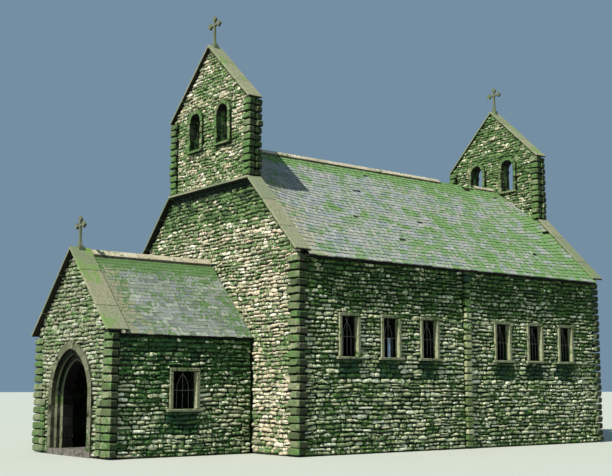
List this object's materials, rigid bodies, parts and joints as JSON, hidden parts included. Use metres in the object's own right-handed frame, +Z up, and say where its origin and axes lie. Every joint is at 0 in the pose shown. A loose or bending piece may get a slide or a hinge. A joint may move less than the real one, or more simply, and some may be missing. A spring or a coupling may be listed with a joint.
{
  "type": "small stone chapel",
  "caption": "Small rubble-stone chapel: slate-roofed nave between coped gables with arched bell gables and crosses, and a gabled porch with a pointed doorway.",
  "frame": {"origin": "on the ground under the middle of the whole plan, porch included", "axes": "+Z up, -Y out of the porch doorway, +X to the right seen from the porch, and X = 0 the plane of symmetry"},
  "size_m": [8.26, 16.185, 12.098],
  "materials": {
    "rubble": "coursed rubble with dark joints, patched with moss",
    "dressed_stone": "sawn and weathered sandstone with green algae",
    "coping_stone": "smooth weathered sandstone slabs, stained green",
    "slate": "grey-violet stone slates under moss",
    "floor_stone": "worn flagstones"
  },
  "bodies": {
    "root": {"nave_floor": "floor_stone", "porch_floor": "floor_stone", "front_wall": "rubble", "rear_wall": "rubble", "right_wall": "rubble", "left_wall": "rubble", "pilasters": "rubble", "front_shoulder": "coping_stone", "rear_shoulder": "coping_stone", "front_bell_wall": "rubble", "rear_bell_wall": "rubble", "front_bell_coping_right": "coping_stone", "front_bell_coping_left": "coping_stone", "rear_bell_coping_right": "coping_stone", "rear_bell_coping_left": "coping_stone", "front_gable_copings": "coping_stone", "rear_gable_copings": "coping_stone", "bell_arches": "dressed_stone", "bell_sills": "dressed_stone", "nave_roof_right": "slate", "nave_roof_left": "slate", "nave_ridge": "coping_stone", "front_cross": "dressed_stone", "rear_cross": "dressed_stone", "porch_cross": "dressed_stone", "right_window_lintels": "dressed_stone", "right_window_jambs": "dressed_stone", "right_window_sills": "dressed_stone", "left_window_lintels": "dressed_stone", "left_window_jambs": "dressed_stone", "left_window_sills": "dressed_stone", "porch_front_wall": "rubble", "porch_right_wall": "rubble", "porch_left_wall": "rubble", "porch_roof_right": "slate", "porch_roof_left": "slate", "porch_ridge": "coping_stone", "porch_coping_right": "coping_stone", "porch_coping_left": "coping_stone", "doorway_outer_order": "dressed_stone", "doorway_middle_order": "dressed_stone", "doorway_inner_order": "dressed_stone", "doorway_threshold": "floor_stone", "corner_quoins": "dressed_stone", "bell_quoins": "dressed_stone"}
  },
  "joints": []
}
